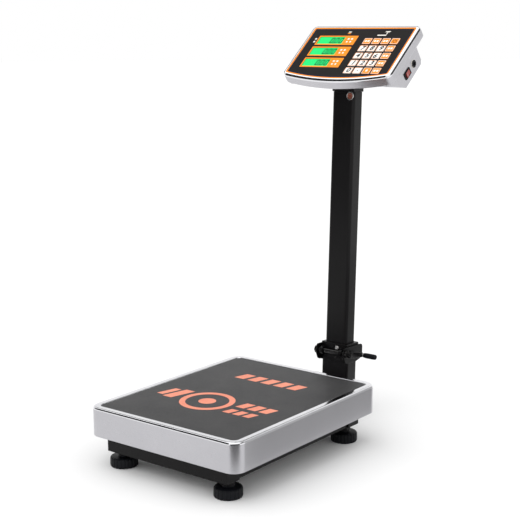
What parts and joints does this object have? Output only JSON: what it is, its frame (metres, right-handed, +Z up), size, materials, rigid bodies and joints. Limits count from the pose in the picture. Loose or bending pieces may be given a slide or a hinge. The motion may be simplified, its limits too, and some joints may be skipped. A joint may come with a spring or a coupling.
{
  "type": "platform shipping scale",
  "caption": "Platform scale with a stainless pan on a black base frame and a folding rear column that carries a display and keypad head.",
  "frame": {"origin": "on the ground, under the middle of the whole scale's footprint", "axes": "+Z up, +Y from the operator towards the column, +X to the operator's right"},
  "size_m": [0.4, 0.7626, 0.9079],
  "materials": {
    "stainless": "brushed, bright rolled edges",
    "mat": "fine grained",
    "black_paint": "satin powder coat",
    "aluminium": "machined",
    "rubber": "matt",
    "black_plastic": "moulded satin",
    "zinc_steel": "plated",
    "copper_cap": "gloss",
    "face_film": "printed film",
    "lcd": "back-lit display",
    "white_key": "printed",
    "orange_key": "printed",
    "circuit_board": "solder mask",
    "battery_case": "moulded",
    "red_rocker": "gloss"
  },
  "bodies": {
    "base": {"base_frame": "black_paint", "load_cell": "aluminium", "top_frame": "black_paint", "pan_pad_front_left": "rubber", "pan_pad_front_right": "rubber", "pan_pad_rear_left": "rubber", "pan_pad_rear_right": "rubber", "foot_jam_nut_front_left": "black_paint", "foot_jam_nut_front_right": "black_paint", "foot_jam_nut_rear_left": "black_paint", "foot_jam_nut_rear_right": "black_paint", "lower_post": "black_paint", "hinge_base_bracket": "black_paint", "clamp_rod_nut": "zinc_steel"},
    "platform": {"platform_pan": "stainless", "platform_mat": "mat"},
    "column": {"hinge_collar": "black_paint", "collar_screw": "zinc_steel", "upper_tube": "black_paint", "bracket_screw_cap": "copper_cap", "head_bracket": "black_paint", "head_shell": "stainless", "head_back_cover": "stainless", "face_panel": "face_film", "lcd_module_1": "lcd", "lcd_module_2": "lcd", "lcd_module_3": "lcd", "main_board": "circuit_board", "battery": "battery_case", "switch_body": "black_plastic", "charge_socket": "black_plastic"},
    "crank": {"clamp_rod": "zinc_steel", "crank_arm": "black_paint"},
    "grip": {"crank_grip": "black_plastic"},
    "rocker": {"power_rocker": "red_rocker"},
    "foot_front_left": {"foot_knob_front_left": "black_plastic"},
    "foot_front_right": {"foot_knob_front_right": "black_plastic"},
    "foot_rear_left": {"foot_knob_rear_left": "black_plastic"},
    "foot_rear_right": {"foot_knob_rear_right": "black_plastic"},
    "key_r1_c1_cap": {"key_r1_c1": "orange_key"},
    "key_r1_c2_cap": {"key_r1_c2": "orange_key"},
    "key_r1_c3_cap": {"key_r1_c3": "orange_key"},
    "key_r1_c4_cap": {"key_r1_c4": "orange_key"},
    "key_r2_c1_cap": {"key_r2_c1": "white_key"},
    "key_r2_c2_cap": {"key_r2_c2": "white_key"},
    "key_r2_c3_cap": {"key_r2_c3": "white_key"},
    "key_r2_c4_cap": {"key_r2_c4": "orange_key"},
    "key_r3_c1_cap": {"key_r3_c1": "white_key"},
    "key_r3_c2_cap": {"key_r3_c2": "white_key"},
    "key_r3_c3_cap": {"key_r3_c3": "white_key"},
    "key_r3_c4_cap": {"key_r3_c4": "orange_key"},
    "key_r4_c1_cap": {"key_r4_c1": "white_key"},
    "key_r4_c2_cap": {"key_r4_c2": "white_key"},
    "key_r4_c3_cap": {"key_r4_c3": "white_key"},
    "key_r4_c4_cap": {"key_r4_c4": "orange_key"},
    "key_r5_c1_cap": {"key_r5_c1": "white_key"},
    "key_r5_c2_cap": {"key_r5_c2": "white_key"},
    "key_r5_c3_cap": {"key_r5_c3": "orange_key"},
    "key_r5_c4_cap": {"key_r5_c4": "orange_key"}
  },
  "joints": [
    {"name": "column_fold", "type": "hinge", "parent": "base", "child": "column", "pos_m": [0, 0.23073, 0.1465], "axis": [1, 0, 0], "range_deg": [0, 90]},
    {"name": "crank_turn", "type": "hinge", "parent": "base", "child": "crank", "pos_m": [0, 0.23073, 0.1465], "axis": [1, 0, 0], "range_deg": [0, 540]},
    {"name": "grip_spin", "type": "hinge", "parent": "crank", "child": "grip", "pos_m": [0.076, 0.27687, 0.13706], "axis": [1, 0, 0], "continuous": true},
    {"name": "platform_lift", "type": "slide", "parent": "base", "child": "platform", "axis": [0, 0, 1], "range_m": [0, 0.025]},
    {"name": "power_rocker_tip", "type": "hinge", "parent": "column", "child": "rocker", "pos_m": [0.1456, 0.31189, 0.80273], "axis": [0, 0.6334, -0.7738], "range_deg": [0, 16]},
    {"name": "foot_front_left_turn", "type": "hinge", "parent": "base", "child": "foot_front_left", "pos_m": [-0.142, -0.33527, 0.011], "axis": [0, 0, 1], "continuous": true},
    {"name": "foot_front_right_turn", "type": "hinge", "parent": "base", "child": "foot_front_right", "pos_m": [0.142, -0.33527, 0.011], "axis": [0, 0, 1], "continuous": true},
    {"name": "foot_rear_left_turn", "type": "hinge", "parent": "base", "child": "foot_rear_left", "pos_m": [-0.142, 0.07273, 0.011], "axis": [0, 0, 1], "continuous": true},
    {"name": "foot_rear_right_turn", "type": "hinge", "parent": "base", "child": "foot_rear_right", "pos_m": [0.142, 0.07273, 0.011], "axis": [0, 0, 1], "continuous": true},
    {"name": "key_r1_c1_press", "type": "slide", "parent": "column", "child": "key_r1_c1_cap", "axis": [0, 0.6334, -0.7738], "range_m": [0, 0.0005], "stiffness_N_per_m": 2000, "springref_m": -0.0003},
    {"name": "key_r1_c2_press", "type": "slide", "parent": "column", "child": "key_r1_c2_cap", "axis": [0, 0.6334, -0.7738], "range_m": [0, 0.0005], "stiffness_N_per_m": 2000, "springref_m": -0.0003},
    {"name": "key_r1_c3_press", "type": "slide", "parent": "column", "child": "key_r1_c3_cap", "axis": [0, 0.6334, -0.7738], "range_m": [0, 0.0005], "stiffness_N_per_m": 2000, "springref_m": -0.0003},
    {"name": "key_r1_c4_press", "type": "slide", "parent": "column", "child": "key_r1_c4_cap", "axis": [0, 0.6334, -0.7738], "range_m": [0, 0.0005], "stiffness_N_per_m": 2000, "springref_m": -0.0003},
    {"name": "key_r2_c1_press", "type": "slide", "parent": "column", "child": "key_r2_c1_cap", "axis": [0, 0.6334, -0.7738], "range_m": [0, 0.0005], "stiffness_N_per_m": 2000, "springref_m": -0.0003},
    {"name": "key_r2_c2_press", "type": "slide", "parent": "column", "child": "key_r2_c2_cap", "axis": [0, 0.6334, -0.7738], "range_m": [0, 0.0005], "stiffness_N_per_m": 2000, "springref_m": -0.0003},
    {"name": "key_r2_c3_press", "type": "slide", "parent": "column", "child": "key_r2_c3_cap", "axis": [0, 0.6334, -0.7738], "range_m": [0, 0.0005], "stiffness_N_per_m": 2000, "springref_m": -0.0003},
    {"name": "key_r2_c4_press", "type": "slide", "parent": "column", "child": "key_r2_c4_cap", "axis": [0, 0.6334, -0.7738], "range_m": [0, 0.0005], "stiffness_N_per_m": 2000, "springref_m": -0.0003},
    {"name": "key_r3_c1_press", "type": "slide", "parent": "column", "child": "key_r3_c1_cap", "axis": [0, 0.6334, -0.7738], "range_m": [0, 0.0005], "stiffness_N_per_m": 2000, "springref_m": -0.0003},
    {"name": "key_r3_c2_press", "type": "slide", "parent": "column", "child": "key_r3_c2_cap", "axis": [0, 0.6334, -0.7738], "range_m": [0, 0.0005], "stiffness_N_per_m": 2000, "springref_m": -0.0003},
    {"name": "key_r3_c3_press", "type": "slide", "parent": "column", "child": "key_r3_c3_cap", "axis": [0, 0.6334, -0.7738], "range_m": [0, 0.0005], "stiffness_N_per_m": 2000, "springref_m": -0.0003},
    {"name": "key_r3_c4_press", "type": "slide", "parent": "column", "child": "key_r3_c4_cap", "axis": [0, 0.6334, -0.7738], "range_m": [0, 0.0005], "stiffness_N_per_m": 2000, "springref_m": -0.0003},
    {"name": "key_r4_c1_press", "type": "slide", "parent": "column", "child": "key_r4_c1_cap", "axis": [0, 0.6334, -0.7738], "range_m": [0, 0.0005], "stiffness_N_per_m": 2000, "springref_m": -0.0003},
    {"name": "key_r4_c2_press", "type": "slide", "parent": "column", "child": "key_r4_c2_cap", "axis": [0, 0.6334, -0.7738], "range_m": [0, 0.0005], "stiffness_N_per_m": 2000, "springref_m": -0.0003},
    {"name": "key_r4_c3_press", "type": "slide", "parent": "column", "child": "key_r4_c3_cap", "axis": [0, 0.6334, -0.7738], "range_m": [0, 0.0005], "stiffness_N_per_m": 2000, "springref_m": -0.0003},
    {"name": "key_r4_c4_press", "type": "slide", "parent": "column", "child": "key_r4_c4_cap", "axis": [0, 0.6334, -0.7738], "range_m": [0, 0.0005], "stiffness_N_per_m": 2000, "springref_m": -0.0003},
    {"name": "key_r5_c1_press", "type": "slide", "parent": "column", "child": "key_r5_c1_cap", "axis": [0, 0.6334, -0.7738], "range_m": [0, 0.0005], "stiffness_N_per_m": 2000, "springref_m": -0.0003},
    {"name": "key_r5_c2_press", "type": "slide", "parent": "column", "child": "key_r5_c2_cap", "axis": [0, 0.6334, -0.7738], "range_m": [0, 0.0005], "stiffness_N_per_m": 2000, "springref_m": -0.0003},
    {"name": "key_r5_c3_press", "type": "slide", "parent": "column", "child": "key_r5_c3_cap", "axis": [0, 0.6334, -0.7738], "range_m": [0, 0.0005], "stiffness_N_per_m": 2000, "springref_m": -0.0003},
    {"name": "key_r5_c4_press", "type": "slide", "parent": "column", "child": "key_r5_c4_cap", "axis": [0, 0.6334, -0.7738], "range_m": [0, 0.0005], "stiffness_N_per_m": 2000, "springref_m": -0.0003}
  ]
}
